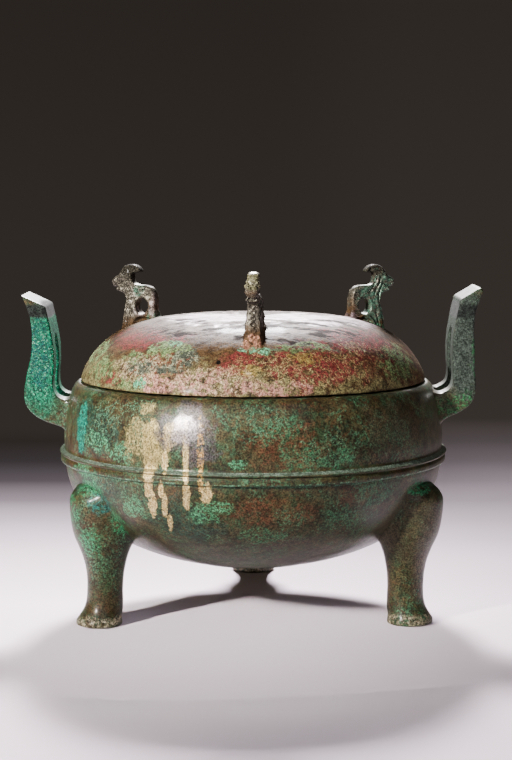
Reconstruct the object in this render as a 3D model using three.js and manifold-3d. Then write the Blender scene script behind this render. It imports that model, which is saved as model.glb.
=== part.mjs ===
// Lidded bronze ding: a round bowl on three hoofed legs, with two upright ears on bent arms, and a domed
// lid that carries three beast-shaped loops. Millimetres, +Z up. The origin is on the bowl's axis, at the
// ground that the hooves stand on. +X runs through the right ear, and one leg stands at the back, on +Y.
import * as THREE from "three";
import { mergeVertices } from "three/addons/utils/BufferGeometryUtils.js";
import Module from "manifold-3d";

const wasm = await Module();
wasm.setup();

// Driving dimensions
const TURN_SIDES = 52; // facets round the bowl and the lid
const WALL = 3; // cast wall of the bowl
const BOWL_BOTTOM_Z = 24.1;
const BOWL_RADIUS = 101.3; // widest, just above the ring
const BOWL_WIDEST_Z = 90;
const BELLY_POWERS = [2.05, 2.5]; // superellipse of the belly, across and down
const RING_RADIUS = 104; // raised bowstring ring
const RING_Z = [80.8, 88.2];
const SHOULDER_Z = 123.4; // ledge that the lid's edge rests over
const SHOULDER_RADIUS = 93.4;
const LIP = { outer: 88.6, inner: 85.2, top: 128.8 }; // upright mouth that the lid fits over
const LID_GAP = 0.3;
const LID_RADIUS = 92.3;
const LID_RISE = 34.3;
const LID_WALL = 2.6;
const LID_POWERS = [4.4, 1.43]; // superellipse of the dome, across and up

// Hand-set castings: angle in degrees round the bowl's axis from +X, lean in degrees outwards at the top.
const LEGS = [
  { angle: -150, lean: 0 },
  { angle: -27.3, lean: 1.9 },
  { angle: 90, lean: 0 },
];
// lift raises the whole ear, and bend is how far out its lower bend reaches.
const EARS = [
  { angle: 0, lift: 3.7, bend: 117.9 },
  { angle: 180, lift: 0, bend: 120.9 },
];
const BEASTS = [
  { angle: -90, radius: 64, lift: 0.5 },
  { angle: 24, radius: 67.3, lift: 0 },
  { angle: 156, radius: 67.3, lift: 0 },
];

const LID_EDGE_Z = SHOULDER_Z + LID_GAP;

// ---- Solids from three.js geometry ----

function solidOf(geometry) {
  const bare = geometry.clone();
  bare.deleteAttribute("normal");
  bare.deleteAttribute("uv");
  const merged = mergeVertices(bare, 1e-3);
  const corners = merged.index.array;
  const triVerts = [];
  for (let i = 0; i < corners.length; i += 3) {
    const [a, b, c] = corners.subarray(i, i + 3);
    if (a !== b && b !== c && c !== a) triVerts.push(a, b, c); // a turned pole leaves flat triangles
  }
  return new wasm.Manifold(
    new wasm.Mesh({
      numProp: 3,
      vertProperties: merged.attributes.position.array,
      triVerts: new Uint32Array(triVerts),
    }),
  );
}

function meshOf(solid, name, material) {
  const { vertProperties, triVerts } = solid.getMesh();
  const geometry = new THREE.BufferGeometry();
  geometry.setAttribute("position", new THREE.BufferAttribute(vertProperties, 3));
  geometry.setIndex(new THREE.BufferAttribute(triVerts, 1));
  geometry.computeVertexNormals();
  const mesh = new THREE.Mesh(geometry, material);
  mesh.name = name;
  return mesh;
}

const union = (solids) => solids.reduce((sum, solid) => sum.add(solid));

// A closed turned solid from [radius, height] points that run up the outside, from axis to axis.
function turned(points) {
  const profile = points.map(([radius, z]) => new THREE.Vector2(radius, z));
  const geometry = new THREE.LatheGeometry(profile, TURN_SIDES);
  return solidOf(geometry.rotateX(Math.PI / 2));
}

// An outline drawn in (x, z), given depth along y and centred on y = 0.
function slab(outline, depth, curveSegments = 2) {
  const geometry = new THREE.ExtrudeGeometry(outline, { depth, curveSegments, bevelEnabled: false });
  return solidOf(geometry.translate(0, 0, -depth / 2).rotateX(Math.PI / 2));
}

// The same outline drawn in (y, z), given depth along x from near to far.
function slabAlongX(outline, near, far, curveSegments = 2) {
  const geometry = new THREE.ExtrudeGeometry(outline, {
    depth: far - near,
    curveSegments,
    bevelEnabled: false,
  });
  geometry.translate(0, 0, near).rotateX(Math.PI / 2).rotateZ(Math.PI / 2);
  return solidOf(geometry);
}

function polygonShape(points) {
  return new THREE.Shape(points.map(([x, y]) => new THREE.Vector2(x, y)));
}

// A closed loft of rounded sections stacked upwards. A section is { z, centre, inward, outward, across },
// with its half-widths towards the axis, away from it and sideways.
function loft(sections, sides) {
  const positions = [];
  const indices = [];
  for (const { z, centre, inward, outward, across } of sections)
    for (let i = 0; i < sides; i++) {
      const angle = (i / sides) * 2 * Math.PI;
      const reach = Math.cos(angle) > 0 ? outward : inward;
      positions.push(centre + reach * Math.cos(angle), across * Math.sin(angle), z);
    }
  const at = (row, i) => row * sides + (i % sides);
  for (let row = 0; row + 1 < sections.length; row++)
    for (let i = 0; i < sides; i++) {
      indices.push(at(row, i), at(row, i + 1), at(row + 1, i + 1));
      indices.push(at(row, i), at(row + 1, i + 1), at(row + 1, i));
    }
  for (const [row, flip] of [
    [0, true],
    [sections.length - 1, false],
  ]) {
    const middle = positions.length / 3;
    positions.push(sections[row].centre, 0, sections[row].z);
    for (let i = 0; i < sides; i++)
      indices.push(middle, at(row, flip ? i + 1 : i), at(row, flip ? i : i + 1));
  }
  const geometry = new THREE.BufferGeometry();
  geometry.setAttribute("position", new THREE.Float32BufferAttribute(positions, 3));
  geometry.setIndex(indices);
  return solidOf(geometry);
}

// ---- Bowl ----

// Belly radius and height, share 0 at the bottom and 1 at the widest circle, drawn in by inset.
function bellyPoint(share, inset) {
  const angle = (share * Math.PI) / 2;
  const reach = BOWL_RADIUS - inset;
  const drop = BOWL_WIDEST_Z - BOWL_BOTTOM_Z - inset;
  const [across, down] = BELLY_POWERS;
  return [
    reach * Math.sin(angle) ** (2 / across),
    BOWL_WIDEST_Z - drop * Math.cos(angle) ** (2 / down),
  ];
}

// Upper wall from the ring to the shoulder, drawn in by inset.
function upperWall(inset, steps) {
  const wall = new THREE.SplineCurve(
    [
      [BOWL_RADIUS + 0.3, 95.9],
      [100.6, 105.6],
      [99.3, 112.4],
      [97.2, 118.4],
      [95.6, 121.5],
      [SHOULDER_RADIUS, SHOULDER_Z],
    ].map(([radius, z]) => new THREE.Vector2(radius - inset, z)),
  );
  return wall.getPoints(steps).map(({ x, y }) => [x, y]);
}

function bellyRows(count, inset, topShare) {
  return Array.from({ length: count + 1 }, (_, row) => bellyPoint((row / count) * topShare, inset));
}

const [RING_LOW, RING_HIGH] = RING_Z;

const bowlOutside = turned([
  ...bellyRows(9, 0, 0.9),
  [BOWL_RADIUS - 0.5, RING_LOW],
  [RING_RADIUS - 0.4, RING_LOW + 0.9],
  [RING_RADIUS, RING_LOW + 1.7], // lower edge of the ring
  [RING_RADIUS - 0.9, RING_LOW + 3.2], // slack face between its two edges
  [RING_RADIUS - 0.1, RING_HIGH - 2.4], // upper edge
  [RING_RADIUS - 0.5, RING_HIGH - 1.7],
  [BOWL_RADIUS + 0.1, RING_HIGH],
  ...upperWall(0, 6),
  [LIP.outer + 0.5, SHOULDER_Z],
  [LIP.outer, SHOULDER_Z + 0.6],
  [LIP.outer - 1, LIP.top - 0.8],
  [LIP.outer - 1.7, LIP.top],
  [0, LIP.top],
]);

const bowlHollow = turned([
  ...bellyRows(6, WALL, 1),
  ...upperWall(WALL, 4).slice(0, 4),
  [SHOULDER_RADIUS - 4.6, SHOULDER_Z - 2.6],
  [LIP.inner, SHOULDER_Z - 0.6],
  [LIP.inner, LIP.top + 5],
  [0, LIP.top + 5],
]);

// ---- Ears: an upright loop whose two legs bend in to the bowl as level arms ----

const EAR_TOP_Z = 170;
const EAR_FOOT_Z = 99.4;
const EAR_WIDTH = { top: 37, bottom: 43 };
const EAR_BAR = 12; // width of each leg of the loop
const EAR_SLOT_TOP_Z = 147;

function earSide(bend) {
  const shape = new THREE.Shape();
  shape.moveTo(96, EAR_FOOT_Z - 0.4); // inside the bowl's wall
  shape.lineTo(99.7, EAR_FOOT_Z);
  shape.splineThru(
    [
      [bend - 13.6, EAR_FOOT_Z + 2.3],
      [bend - 6.3, EAR_FOOT_Z + 5.8],
      [bend - 1.3, EAR_FOOT_Z + 11.2],
      [bend, EAR_FOOT_Z + 18],
      [0.7 * bend + 34.8, 127.5],
      [117.1, 137.4],
      [116.6, 147.1],
      [117.3, 155.8],
      [119, 161.6],
      [122.5, EAR_TOP_Z],
    ].map(([x, z]) => new THREE.Vector2(x, z)),
  );
  shape.lineTo(108.9, EAR_TOP_Z - 6.3); // the top slopes down to the inside
  shape.splineThru(
    [
      [106.6, 153],
      [104.9, 142],
      [104.7, 132],
      [105.3, 122.6],
      [103.9, 117.2],
      [99.2, 114.3],
    ].map(([x, z]) => new THREE.Vector2(x, z)),
  );
  shape.lineTo(96, 113.6);
  return shape;
}

function earFace() {
  const top = EAR_WIDTH.top / 2;
  const bottom = EAR_WIDTH.bottom / 2;
  const arch = top - EAR_BAR; // half the slot's width where it closes
  const shape = new THREE.Shape();
  shape.moveTo(-bottom, 95);
  shape.lineTo(EAR_BAR - bottom, 95);
  shape.lineTo(-arch, EAR_SLOT_TOP_Z - arch);
  shape.quadraticCurveTo(-arch, EAR_SLOT_TOP_Z, 0, EAR_SLOT_TOP_Z);
  shape.quadraticCurveTo(arch, EAR_SLOT_TOP_Z, arch, EAR_SLOT_TOP_Z - arch);
  shape.lineTo(bottom - EAR_BAR, 95);
  shape.lineTo(bottom, 95);
  shape.lineTo(top, EAR_TOP_Z + 2);
  shape.lineTo(-top, EAR_TOP_Z + 2);
  return shape;
}

function ear({ angle, lift, bend }) {
  const loop = slab(earSide(bend), 50).intersect(slabAlongX(earFace(), 90, 130, 4));
  return loop.translate([0, 0, lift]).rotate([0, 0, angle]);
}

// ---- Legs: a round haunch on the belly, a narrow shank and a flared hoof with a flat lip ----

const LEG_SIDES = 16;
const HOOF_RADIUS = 12.5;
const SHANK_RADIUS = 9.6;
const HAUNCH_RADIUS = 16.6;

const legSections = [
  { z: 0, centre: 91.4, radius: HOOF_RADIUS - 0.3 },
  { z: 0.8, centre: 91.6, radius: HOOF_RADIUS + 0.1 },
  { z: 3.2, centre: 91.7, radius: HOOF_RADIUS },
  { z: 4.4, centre: 91.2, radius: HOOF_RADIUS - 0.7 },
  { z: 8.6, centre: 89.6, radius: SHANK_RADIUS + 1 },
  { z: 13.5, centre: 88.9, radius: SHANK_RADIUS + 0.2 },
  { z: 20, centre: 88.7, radius: SHANK_RADIUS },
  { z: 27.5, centre: 88.5, radius: SHANK_RADIUS + 0.5 },
  { z: 34.5, centre: 88.6, radius: SHANK_RADIUS + 2 },
  { z: 41, centre: 88.9, radius: SHANK_RADIUS + 4.3 },
  { z: 47, centre: 89.6, radius: HAUNCH_RADIUS - 0.7 },
  { z: 53.5, centre: 90.5, radius: HAUNCH_RADIUS - 0.1 },
  { z: 60.5, centre: 91, radius: HAUNCH_RADIUS },
  { z: 66, centre: 91.3, radius: HAUNCH_RADIUS - 0.5 },
  { z: 70, centre: 91.2, radius: HAUNCH_RADIUS - 2.4 },
  { z: 73, centre: 91, radius: HAUNCH_RADIUS - 5.8 },
  { z: 75, centre: 90.6, radius: HAUNCH_RADIUS - 11 },
];

// The hoof is flatter towards the axis, and the haunch is a little flattened outwards.
function legSection({ z, centre, radius }) {
  const hoof = Math.max(0, 1 - z / 13);
  const haunch = Math.max(0, (radius - SHANK_RADIUS) / (HAUNCH_RADIUS - SHANK_RADIUS)) * (z > 30 ? 1 : 0);
  return {
    z,
    centre,
    inward: radius - 1.2 * hoof,
    outward: radius - 0.7 * haunch,
    across: radius,
  };
}

function leg({ angle, lean }) {
  const tilt = Math.tan((lean * Math.PI) / 180);
  const sections = legSections.map(legSection);
  for (const section of sections) section.centre += tilt * section.z;
  return loft(sections, LEG_SIDES).rotate([0, 0, angle]);
}

// ---- Lid ----

function dome(radius, rise, floor, rows) {
  const [across, up] = LID_POWERS;
  return Array.from({ length: rows + 1 }, (_, row) => {
    const share = Math.cos((row / rows) * (Math.PI / 2)) ** 0.6;
    return [radius * share, floor + rise * (1 - share ** across) ** (1 / up)];
  });
}

const lidOutside = turned([
  [0, LID_EDGE_Z],
  [LID_RADIUS - 0.5, LID_EDGE_Z],
  ...dome(LID_RADIUS, LID_RISE, LID_EDGE_Z, 10),
]);

const lidHollow = turned([
  [0, LID_EDGE_Z - 5],
  [LID_RADIUS - LID_WALL, LID_EDGE_Z - 5],
  ...dome(LID_RADIUS - LID_WALL, LID_RISE - LID_WALL, LID_EDGE_Z + 0.6, 7),
]);

// ---- Beast loops: a horned beast bent round a finger hole, looking outwards, mouth open ----

const BEAST_FOOT_Z = 137; // hidden in the lid's wall
const LOOP_HOLE = { w: -0.6, z: 160.9, halfWidth: 3.5, halfHeight: 4.1, sides: 10 };

// Side view in (w, z): w runs outwards from the middle of the beast's foot.
function beastSide() {
  const shape = new THREE.Shape();
  shape.moveTo(-12, BEAST_FOOT_Z);
  shape.lineTo(10.6, BEAST_FOOT_Z);
  shape.lineTo(10.6, 146);
  shape.splineThru(
    [
      [10.2, 153.7], // chest
      [9.4, 164.3],
      [10.4, 167.5], // throat
      [13.5, 169.1],
      [16, 170], // lower jaw
    ].map(([w, z]) => new THREE.Vector2(w, z)),
  );
  shape.lineTo(13.2, 171.9); // open mouth
  shape.lineTo(16.6, 172.6);
  shape.splineThru(
    [
      [16.9, 174.6], // snout
      [15.1, 176.6],
      [12.5, 178.3],
    ].map(([w, z]) => new THREE.Vector2(w, z)),
  );
  shape.lineTo(11.8, 180.1); // brow
  shape.splineThru(
    [
      [8.8, 183],
      [4.6, 183.9], // crown
      [0.8, 182.3],
      [-0.7, 179.7], // tip of the horn
      [1.3, 179.1],
      [4.2, 178.3],
      [3.7, 175.1], // nape
      [0.6, 172.4],
      [-4, 172.2], // back
      [-8, 171.5],
      [-9.6, 167.3],
      [-10, 157.7], // rump
      [-11.7, 152.7],
    ].map(([w, z]) => new THREE.Vector2(w, z)),
  );
  const { w, z, halfWidth, halfHeight, sides } = LOOP_HOLE;
  const rim = Array.from({ length: sides }, (_, i) => (-i / sides) * 2 * Math.PI);
  const hole = rim.map(
    (angle) => new THREE.Vector2(w + halfWidth * Math.cos(angle), z + halfHeight * Math.sin(angle)),
  );
  shape.holes.push(new THREE.Path(hole));
  return shape;
}

// Half-widths of the beast seen from the front, from its foot to its crown.
const beastHalfWidths = [
  [BEAST_FOOT_Z, 5.3],
  [149.7, 5.2],
  [156.7, 4.5],
  [163.7, 3.7],
  [168.2, 3.1],
  [171.5, 2.9],
  [174.1, 3.5],
  [177.3, 3.6],
  [180.1, 2.9],
  [185, 2.7],
];

function beastFront() {
  const right = beastHalfWidths.map(([z, half]) => [half, z]);
  const left = beastHalfWidths.map(([z, half]) => [-half, z]).reverse();
  return polygonShape([...right, ...left]);
}

function ball(radius, w, across, z) {
  return solidOf(new THREE.IcosahedronGeometry(radius, 0).translate(w, across, z));
}

// A cut into one side of the beast, through an outline in (w, z), down to floor from its middle plane.
function sideCut(outline, floor, side) {
  const depth = 4;
  return slab(polygonShape(outline), depth).translate([0, side * (floor + depth / 2), 0]);
}

// Outline of a groove of constant width whose upper edge follows a route in (w, z).
function grooveOutline(route, width) {
  const lower = route.map(([w, z]) => [w + width, z + width / 3]).reverse();
  return [...route, ...lower];
}

const maneRoutes = [
  [[6, 177.3], [5.5, 174.1], [3.2, 170.5], [2.1, 168.9]],
  [[8.7, 172.1], [7.6, 169.3], [6.9, 166.1], [6.6, 163.1]],
];
const webOutline = [[-7, 149.7], [-6.7, 155.1], [-4.5, 155.9], [-0.7, 155.1], [2.3, 152.5], [1.9, 147.7]];

function beastAtCentre() {
  const body = slab(beastSide(), 12, 1).intersect(slabAlongX(beastFront(), -20, 25));
  const lumps = [];
  const cuts = [];
  for (const side of [-1, 1]) {
    lumps.push(ball(1.2, 11, side * 3.3, 176.7)); // eye
    lumps.push(ball(1.2, 15.5, side * 2.3, 174)); // nostril
    lumps.push(ball(1.1, 12.9, side * 2.5, 170.1)); // corner of the jaw
    cuts.push(ball(1.3, 2.1, side * 3.3, 181)); // hollow of the curled horn
    cuts.push(sideCut(webOutline, 3.4, side)); // sunk web between the rump and the foot
    for (const route of maneRoutes) cuts.push(sideCut(grooveOutline(route, 0.9), 2.5, side));
  }
  return union([body, ...lumps]).subtract(union(cuts));
}

const beastCasting = beastAtCentre();

function beast({ angle, radius, lift }) {
  return beastCasting.translate([radius, 0, lift]).rotate([0, 0, angle]);
}

// ---- Assembly ----

const vesselSolid = union([bowlOutside, ...EARS.map(ear), ...LEGS.map(leg)]).subtract(bowlHollow);
const lidSolid = union([lidOutside, ...BEASTS.map(beast)]).subtract(lidHollow);

const bowlBronze = new THREE.MeshStandardMaterial({ color: "#5b5f4c", roughness: 0.5, metalness: 0.7 });
const lidBronze = new THREE.MeshStandardMaterial({ color: "#7c5f4e", roughness: 0.55, metalness: 0.6 });

const ding = new THREE.Group();
ding.add(meshOf(vesselSolid, "vessel", bowlBronze));
ding.add(meshOf(lidSolid, "lid", lidBronze));

export default ding;
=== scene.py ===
"""A lidded bronze ding, the three-legged food vessel of ancient China. It is cast in two pieces: a
round bowl with its legs and ears, and a domed lid with three small beasts to lift it and stand it on.
Sizes are in millimetres, and meshes are written in metres."""
import math

import bpy
import numpy as np
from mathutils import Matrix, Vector
from mathutils.bvhtree import BVHTree


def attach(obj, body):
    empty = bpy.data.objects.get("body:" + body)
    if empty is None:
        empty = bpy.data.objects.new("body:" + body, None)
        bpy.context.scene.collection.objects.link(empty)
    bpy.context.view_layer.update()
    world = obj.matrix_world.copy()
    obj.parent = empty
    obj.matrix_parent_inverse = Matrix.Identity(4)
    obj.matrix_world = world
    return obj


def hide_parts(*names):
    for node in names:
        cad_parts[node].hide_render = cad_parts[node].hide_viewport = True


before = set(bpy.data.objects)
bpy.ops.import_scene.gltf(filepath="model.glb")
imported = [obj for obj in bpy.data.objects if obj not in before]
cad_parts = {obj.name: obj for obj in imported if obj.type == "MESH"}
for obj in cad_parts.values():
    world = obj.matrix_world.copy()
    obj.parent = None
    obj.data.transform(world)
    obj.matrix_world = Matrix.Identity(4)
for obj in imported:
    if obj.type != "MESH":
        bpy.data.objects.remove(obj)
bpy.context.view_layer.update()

# ---- The bowl ----
# A round-bottomed bowl of leaded tin bronze, cast in a piece mould with walls 3 mm thick. A raised
# bowstring ring runs round it, and an upright mouth stands inside the shoulder to carry the lid.

MM = 0.001
BOWL_RADIUS, BOWL_WIDEST_Z, BOWL_BOTTOM_Z = 101.3, 90.0, 24.1
BELLY_ACROSS, BELLY_DOWN = 2.05, 2.5  # superellipse powers of the belly
WALL = 3.0
SPRUE_RING = {"radius": 35.0, "height": 0.45, "width": 1.1}  # casting ridge left under the belly
BOWL_SIDES = 330


def smooth_line(points, step):
    """Points about every step mm along a smooth curve through the given points."""
    p = np.array(points, float)
    p = np.vstack([2 * p[0] - p[1], p, 2 * p[-1] - p[-2]])
    runs = []
    for a, b, c, d in zip(p, p[1:], p[2:], p[3:]):
        count = max(1, round(float(np.linalg.norm(c - b)) / step))
        t = np.arange(count)[:, None] / count
        runs.append(0.5 * (2 * b + (c - a) * t + (2 * a - 5 * b + 4 * c - d) * t**2
                           + (3 * b - a - 3 * c + d) * t**3))
    return np.vstack(runs + [p[-2:-1]])


def respaced(points, step):
    """The same line with points every step mm along it."""
    run = np.concatenate([[0], np.cumsum(np.linalg.norm(np.diff(points, axis=0), axis=1))])
    at = np.linspace(0, run[-1], max(2, round(run[-1] / step) + 1))
    return np.column_stack([np.interp(at, run, points[:, i]) for i in range(points.shape[1])])


def belly(inset):
    """Radius and height of the belly from its lowest point to its widest, drawn in by inset."""
    angle = np.linspace(0, math.pi / 2, 600)
    reach, drop = BOWL_RADIUS - inset, BOWL_WIDEST_Z - BOWL_BOTTOM_Z - inset
    return np.column_stack([reach * np.sin(angle) ** (2 / BELLY_ACROSS),
                            BOWL_WIDEST_Z - drop * np.cos(angle) ** (2 / BELLY_DOWN)])


upper_wall = smooth_line([(101.4, 88.2), (101.5, 95.9), (100.6, 105.6), (99.3, 112.4), (97.2, 118.4),
                          (95.6, 121.5), (94.0, 123.0)], 1.3)
ring = smooth_line([(100.8, 80.6), (102.5, 81.0), (103.3, 81.7), (103.4, 82.8), (103.3, 84.0),
                    (102.9, 84.7), (102.7, 85.1), (103.3, 85.5), (103.9, 86.1), (103.8, 86.8),
                    (102.9, 87.4), (101.8, 87.8), (101.4, 88.2)], 0.42)
mouth = smooth_line([(93.4, 123.38), (90.6, 123.4), (88.9, 123.45), (88.4, 124.2), (88.0, 126.2),
                     (87.7, 127.8), (87.1, 128.6), (86.3, 128.8), (85.6, 128.5), (85.25, 127.7),
                     (85.2, 125.0), (85.3, 122.6)], 0.8)
outer_belly = belly(0)
outer_belly[:, 1] -= SPRUE_RING["height"] * np.exp(
    -((outer_belly[:, 0] - SPRUE_RING["radius"]) / SPRUE_RING["width"]) ** 2)
outer_belly = respaced(outer_belly[outer_belly[:, 1] < 80.3], 1.75)
inner_wall = smooth_line([(88.8, 120.8), (94.2, 118.4), (97.6, 105.6), (98.4, 95.0)], 4)
inner_belly = respaced(belly(WALL)[::-1], 5.5)
bowl_profile = np.vstack([outer_belly, ring, upper_wall[1:], mouth, inner_wall, inner_belly])
bowl_profile[[0, -1], 0] = 0.0


def bowl_radius_at(z):
    """Outer radius of the bowl at a height, without the ring."""
    plain = np.vstack([belly(0)[:-1], upper_wall[1:]])
    return np.interp(z, plain[:, 1], plain[:, 0])


def add(tree, kind, inputs=None, **settings):
    """Adds a node, sets it up, and gives each input a value or joins it to another node's socket."""
    node = tree.nodes.new(kind)
    for name, value in settings.items():
        setattr(node, name, value)
    for name, value in (inputs or {}).items():
        if isinstance(value, bpy.types.NodeSocket):
            tree.links.new(value, node.inputs[name])
        else:
            node.inputs[name].default_value = value
    return node


def tree_with(name, sockets):
    """An empty Geometry Nodes tree with the named inputs and one geometry output."""
    tree = bpy.data.node_groups.new(name, "GeometryNodeTree")
    for label, kind in sockets:
        tree.interface.new_socket(name=label, in_out="INPUT", socket_type="NodeSocket" + kind)
    tree.interface.new_socket(name="Geometry", in_out="OUTPUT", socket_type="NodeSocketGeometry")
    return tree


# Turned form: row r of a grid takes point r of the profile, and each column is a further turn.
turned_tree = tree_with("turned_casting", [("Profile", "Geometry"), ("Rows", "Int"), ("Sides", "Int"),
                                           ("Weld Distance", "Float"), ("Material", "Material")])
given = add(turned_tree, "NodeGroupInput").outputs
columns = add(turned_tree, "ShaderNodeMath", {0: given["Sides"], 1: 1.0}, operation="ADD").outputs[0]
grid = add(turned_tree, "GeometryNodeMeshGrid", {"Vertices X": columns, "Vertices Y": given["Rows"]})
index = add(turned_tree, "GeometryNodeInputIndex").outputs[0]
row = add(turned_tree, "FunctionNodeIntegerMath", {0: index, 1: given["Rows"]}, operation="MODULO")
column = add(turned_tree, "FunctionNodeIntegerMath", {0: index, 1: given["Rows"]}, operation="DIVIDE")
turn = add(turned_tree, "ShaderNodeMath", {0: column.outputs[0], 1: given["Sides"]}, operation="DIVIDE")
angle = add(turned_tree, "ShaderNodeMath", {0: turn.outputs[0], 1: math.tau}, operation="MULTIPLY")
profile_place = add(turned_tree, "GeometryNodeInputPosition").outputs[0]
profile_point = add(turned_tree, "GeometryNodeSampleIndex",
                    {"Geometry": given["Profile"], "Value": profile_place, "Index": row.outputs[0]},
                    data_type="FLOAT_VECTOR")
turned_point = add(turned_tree, "ShaderNodeVectorRotate",
                   {"Vector": profile_point.outputs[0], "Angle": angle.outputs[0]},
                   rotation_type="Z_AXIS")
turned_grid = add(turned_tree, "GeometryNodeSetPosition",
                  {"Geometry": grid.outputs["Mesh"], "Position": turned_point.outputs[0]})
closed = add(turned_tree, "GeometryNodeMergeByDistance",
             {"Geometry": turned_grid.outputs[0], "Distance": given["Weld Distance"]})
real = add(turned_tree, "GeometryNodeRealizeInstances", {"Geometry": closed.outputs[0]})
finished = add(turned_tree, "GeometryNodeSetMaterial",
               {"Geometry": real.outputs[0], "Material": given["Material"]})
add(turned_tree, "NodeGroupOutput", {"Geometry": finished.outputs[0]})

# Old cast skin: slow unevenness from the clay mould and small corrosion pits, both pressed inwards.
skin_tree = tree_with("old_cast_skin", [("Casting", "Geometry"), ("Swell Depth", "Float"),
                                        ("Swell Size", "Float"), ("Pit Depth", "Float"),
                                        ("Pit Size", "Float"), ("Seed", "Float"),
                                        ("Material", "Material")])
given = add(skin_tree, "NodeGroupInput").outputs
place = add(skin_tree, "GeometryNodeInputPosition").outputs[0]
dents = []
for depth, size, detail in (("Swell Depth", "Swell Size", 1.0), ("Pit Depth", "Pit Size", 3.0)):
    fineness = add(skin_tree, "ShaderNodeMath", {0: 1.0, 1: given[size]}, operation="DIVIDE")
    noise = add(skin_tree, "ShaderNodeTexNoise",
                {"Vector": place, "W": given["Seed"], "Scale": fineness.outputs[0], "Detail": detail},
                noise_dimensions="4D")
    low = add(skin_tree, "ShaderNodeMapRange", {"Value": noise.outputs[0], "From Min": 0.3,
                                                "From Max": 0.7, "To Min": 0.0, "To Max": -1.0})
    dents.append(add(skin_tree, "ShaderNodeMath", {0: low.outputs[0], 1: given[depth]},
                     operation="MULTIPLY").outputs[0])
dent = add(skin_tree, "ShaderNodeMath", {0: dents[0], 1: dents[1]}, operation="ADD")
inwards = add(skin_tree, "ShaderNodeVectorMath",
              {0: add(skin_tree, "GeometryNodeInputNormal").outputs[0], "Scale": dent.outputs[0]},
              operation="SCALE")
dented = add(skin_tree, "GeometryNodeSetPosition",
             {"Geometry": given["Casting"], "Offset": inwards.outputs[0]})
real = add(skin_tree, "GeometryNodeRealizeInstances", {"Geometry": dented.outputs[0]})
finished = add(skin_tree, "GeometryNodeSetMaterial",
               {"Geometry": real.outputs[0], "Material": given["Material"]})
add(skin_tree, "NodeGroupOutput", {"Geometry": finished.outputs[0]})


def as_mesh(piece):
    """Turns a piece's modifiers into its plain mesh."""
    whole = bpy.data.meshes.new_from_object(piece.evaluated_get(bpy.context.evaluated_depsgraph_get()))
    piece.modifiers.clear()
    piece.data = whole
    return piece


def through_tree(piece, tree, **values):
    """Runs a piece through a Geometry Nodes tree, with its inputs given by name."""
    modifier = piece.modifiers.new(tree.name, "NODES")
    modifier.node_group = tree
    for socket in tree.interface.items_tree:
        if socket.name in values:
            modifier[socket.identifier] = values[socket.name]
    return as_mesh(piece)


def new_piece(name, points, faces=(), edges=()):
    """A mesh object at the origin, from points in millimetres."""
    mesh = bpy.data.meshes.new(name)
    mesh.from_pydata((np.asarray(points) * MM).tolist(), list(edges), list(faces))
    piece = bpy.data.objects.new(name, mesh)
    bpy.context.collection.objects.link(piece)
    return piece


def turned_piece(name, profile, sides, material):
    """A profile of radius and height, run up the outside and down the inside, turned about Z."""
    points = np.column_stack([profile[:, 0], np.zeros(len(profile)), profile[:, 1]])
    piece = new_piece(name, points, edges=[(i, i + 1) for i in range(len(points) - 1)])
    return through_tree(piece, turned_tree, **{"Rows": len(points), "Sides": sides,
                                               "Weld Distance": 2e-6, "Material": material})


bowl_patina = bpy.data.materials.new("patinated_bronze_bowl")
bowl = turned_piece("cast_vessel", bowl_profile, BOWL_SIDES, bowl_patina)

# ---- The legs ----
# Three solid legs in the shape of an animal's: a round haunch that swells out of the belly, a narrow
# shank and a flared hoof. They were cast first and the bowl cast on to them, which leaves a soft lip.

LEGS = [{"angle": -150.0, "lean": 0.0}, {"angle": -27.3, "lean": 1.9}, {"angle": 90.0, "lean": 0.0}]
LEG_SIDES = 72
SHANK_RADIUS, HAUNCH_RADIUS = 9.6, 16.6
JOIN_DEPTH = 1.5  # how deep in the 3 mm wall a cast-on part ends
BELOW_JOIN_Z = 30  # the legs are clear of the belly below this
JOIN_LIP = {"height": 1.3, "reach": 1.3}
leg_line = smooth_line(  # height, distance of the middle from the bowl's axis, radius
    [(0, 91.4, 0.0), (0, 91.4, 6.0), (0, 91.4, 11.5), (0.4, 91.5, 12.4), (1.2, 91.6, 12.6),
     (3.0, 91.7, 12.4), (4.6, 91.2, 11.7), (8.6, 89.6, 10.6), (13.5, 88.9, 9.8), (20, 88.7, 9.6),
     (27.5, 88.5, 10.1), (34.5, 88.6, 11.6), (41, 88.9, 13.9), (47, 89.6, 15.9), (53.5, 90.5, 16.5),
     (60.5, 91.0, 16.6), (66, 91.3, 16.1), (70, 91.2, 14.2), (73, 91.0, 10.8), (74.6, 90.7, 6.2),
     (75.2, 90.6, 0.0)], 1.25)


def turn_about_z(points, degrees):
    """The points turned about the bowl's axis."""
    c, s = math.cos(math.radians(degrees)), math.sin(math.radians(degrees))
    return np.column_stack([c * points[:, 0] - s * points[:, 1],
                            s * points[:, 0] + c * points[:, 1], points[:, 2]])


def loft_faces(rows, sides):
    """Faces of a closed stack of rings, whose first and last rings are single points."""
    at = lambda r, i: 1 + (r - 1) * sides + i % sides
    faces = [(0, at(1, i + 1), at(1, i)) for i in range(sides)]
    faces += [(at(rows - 2, i), at(rows - 2, i + 1), 1 + (rows - 2) * sides) for i in range(sides)]
    quads = [(at(r, i), at(r, i + 1), at(r + 1, i + 1), at(r + 1, i))
             for r in range(1, rows - 2) for i in range(sides)]
    return faces + quads


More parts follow.
